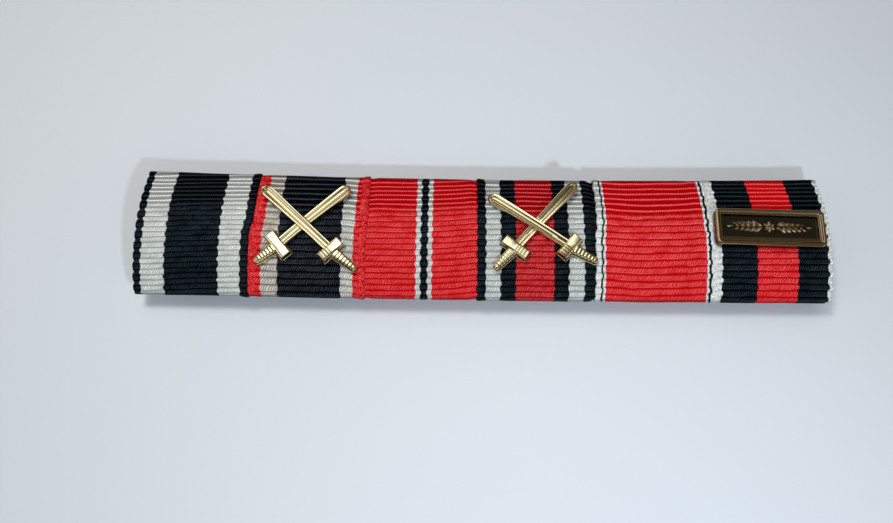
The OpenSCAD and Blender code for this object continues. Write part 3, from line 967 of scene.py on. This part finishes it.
def make_plaque(bronze, field, relief):
    """Plaque with a rim and a recessed field; on it a rosette between two sprays, over a plain ledge."""
    body = loft([rounded_ring(inset, z) for inset, z in PLAQUE_STEPS])
    rosette = [leaf_part(0, k * 360 / PETALS + 30, ROSETTE, 0.5) for k in range(PETALS)]
    ledge = ledge_part()
    verts, faces = joined([body, *rosette, *spray_parts(1, 0), *spray_parts(-1, 180), ledge])
    at = np.array([PLAQUE_PLACE[0], PLAQUE_PLACE[1] - BOW * BOW_MEAN, CROWN_Z + SEAT_GAP])
    verts = verts @ turn_about_z(PLAQUE_PLACE[2]).T + at
    plaque = new_piece("cast_plaque", verts, faces, bronze, smooth_angle=35)
    plaque.data.materials.append(field)
    plaque.data.materials.append(relief)
    field_start = (len(PLAQUE_STEPS) - FIELD_STEPS) * len(rounded_ring(0, 0))
    body_end = len(body[0])
    ledge_start = len(verts) - len(ledge[0])
    for polygon in plaque.data.polygons:
        first, last = min(polygon.vertices), max(polygon.vertices)
        # The field and its last steps get the painted dark reflection
        if first >= field_start and last < body_end:
            polygon.material_index = 1
        elif body_end <= first < ledge_start:
            polygon.material_index = 2
    mark_dark(plaque, reach=0.4, walls=0.85)
    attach(plaque, "root")
    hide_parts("plaque")
    return plaque


# Stage

# Camera at the photograph's distance and angle: its turns in radians, the place of the crown seen from
# it, its focal length in picture widths, and how far it is moved across the bar
CAMERA_TILT = 0.30069
CAMERA_ROLL = -0.01343
CROWN_FROM_CAMERA = (4.65056, 3.63643, -93.99043)
FOCAL_SHARE = 736.767 / 893
CAMERA_OFFSET = -0.09
SENSOR_WIDTH = 36.0

# Columns: place, diameter, power and colour. Both are aimed at the middle of the bar
LAMPS = {
    "near_lamp": ((29, -79, 99), 9, 0.0665, (0.80, 0.93, 1.075)),
    "upper_lamp": ((-44, 31, 174), 42, 0.1435, (0.98, 0.985, 0.93)),
}

# Dim room with a few soft bright patches. Columns: direction, angle up to which a patch is full, angle
# from which on it is gone, colour
ROOM = (0.090, 0.080, 0.060)
PATCHES = [
    ((-0.05, 0.12, 0.991), 11, 14, (1.42, 1.47, 1.6)),
    ((-0.05, 0.27, 0.962), 11, 14, (1.42, 1.47, 1.6)),
    ((-0.07, 0.42, 0.906), 10, 13, (1.42, 1.47, 1.6)),
    ((-0.12, 0.56, 0.825), 10, 13, (1.42, 1.47, 1.6)),
    ((-0.26, 0.45, 0.854), 6, 10, (1.42, 1.47, 1.6)),
    ((-0.21, 0.15, 0.966), 5, 11, (2.6, 2.6, 2.9)),
    ((0.46, 0.30, 0.83), 8, 16, (0.18, 0.16, 0.125)),
    ((-0.92, 0.30, 0.24), 6, 13, (1.5, 1.5, 1.5)),
    ((-0.62, 0.70, 0.34), 6, 13, (1.5, 1.5, 1.5)),
    ((-0.80, -0.25, 0.55), 8, 22, (1.15, 1.2, 1.25)),
    ((0.75, -0.45, 0.45), 8, 20, (0.85, 0.9, 0.95)),
    ((0.10, -0.88, 0.48), 8, 19, (1.25, 1.3, 1.35)),
]

FLOOR_HALF = 1500.0
FLOOR_SHADES = ((0.66, 0.69, 0.72), (0.68, 0.70, 0.73))


def add_lamp(name, place, size, power, colour):
    data = bpy.data.lights.new(name, "AREA")
    data.shape = "DISK"
    data.size = size * MM
    data.energy = power
    data.color = colour
    lamp = bpy.data.objects.new(name, data)
    bpy.context.scene.collection.objects.link(lamp)
    lamp.location = Vector(place) * MM
    lamp.rotation_euler = (-lamp.location).to_track_quat("-Z", "Y").to_euler()
    lamp.visible_camera = False
    lamp.visible_glossy = False


def add_camera():
    ct, st = math.cos(CAMERA_TILT), math.sin(CAMERA_TILT)
    cr, sr = math.cos(CAMERA_ROLL), math.sin(CAMERA_ROLL)
    tilt = Matrix(((1, 0, 0), (0, ct, st), (0, -st, ct)))
    turn = Matrix(((cr, -sr, 0), (sr, cr, 0), (0, 0, 1))) @ tilt
    data = bpy.data.cameras.new("camera")
    data.sensor_width = SENSOR_WIDTH
    data.lens = FOCAL_SHARE * SENSOR_WIDTH
    data.clip_start, data.clip_end = 0.005, 10.0
    camera = bpy.data.objects.new("camera", data)
    bpy.context.scene.collection.objects.link(camera)
    crown = Vector((0, -BOW * BOW_MEAN + CAMERA_OFFSET, CROWN_Z))
    place = crown - turn.transposed() @ Vector(CROWN_FROM_CAMERA)
    camera.matrix_world = Matrix.Translation(place * MM) @ turn.transposed().to_4x4()
    bpy.context.scene.camera = camera


def add_floor():
    material, tree, shader = material_with("pale_card")
    place = tree.nodes.new("ShaderNodeTexCoord").outputs["Object"]
    cloud = ramp(tree, noise(tree, place, 14.0, 2.0), 0.3, 0.7, 0.0, 1.0)
    tree.links.new(blend_colours(tree, cloud, *FLOOR_SHADES), shader.inputs["Base Color"])
    shader.inputs["Roughness"].default_value = 0.6
    shader.inputs["Specular IOR Level"].default_value = 0.2
    corners = [(-1, -1), (1, -1), (1, 1), (-1, 1)]
    verts = [(x * FLOOR_HALF, y * FLOOR_HALF, 0) for x, y in corners]
    floor = new_piece("floor", verts, [[0, 1, 2, 3]], material)


def add_world():
    world = bpy.data.worlds.new("studio")
    bpy.context.scene.world = world
    world.use_nodes = True
    tree = world.node_tree
    direction = tree.nodes.new("ShaderNodeTexCoord").outputs["Generated"]
    total = ROOM
    for towards, inner, outer, colour in PATCHES:
        facing = tree.nodes.new("ShaderNodeVectorMath")
        facing.operation = "DOT_PRODUCT"
        tree.links.new(direction, facing.inputs[0])
        facing.inputs[1].default_value = Vector(towards).normalized()
        full, gone = math.cos(math.radians(inner)), math.cos(math.radians(outer))
        share = ramp(tree, facing.outputs["Value"], gone, full, 0.0, 1.0)
        lit = blend_colours(tree, share, (0.0, 0.0, 0.0), colour)
        total = blend_colours(tree, 1.0, total, lit, "LIGHTEN")
    background = tree.nodes["Background"]
    tree.links.new(total, background.inputs["Color"])
    background.inputs["Strength"].default_value = 1.0


for number, (node, data) in enumerate(RIBBONS.items()):
    make_ribbon(node, data, 10 * number + 3)
metals = {name: metal_material(name, *look) for name, look in METALS.items()}
for node, swords in SWORD_PAIRS.items():
    make_swords(node, swords, metals["pale_gold"])
make_plaque(metals["dark_bronze"], metals["painted_dark_reflection_bronze"], metals["worn_bronze"])
for node in ("bar_plate", "brooch_pin"):
    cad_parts[node].data.materials.clear()
    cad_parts[node].data.materials.append(metals["plain_steel"])

add_camera()
add_floor()
add_world()
for name, look in LAMPS.items():
    add_lamp(name, *look)
bpy.context.scene.view_settings.view_transform = "Standard"
# The fine yarns would be smoothed away with filtered guides
bpy.context.scene.cycles.denoising_prefilter = "NONE"
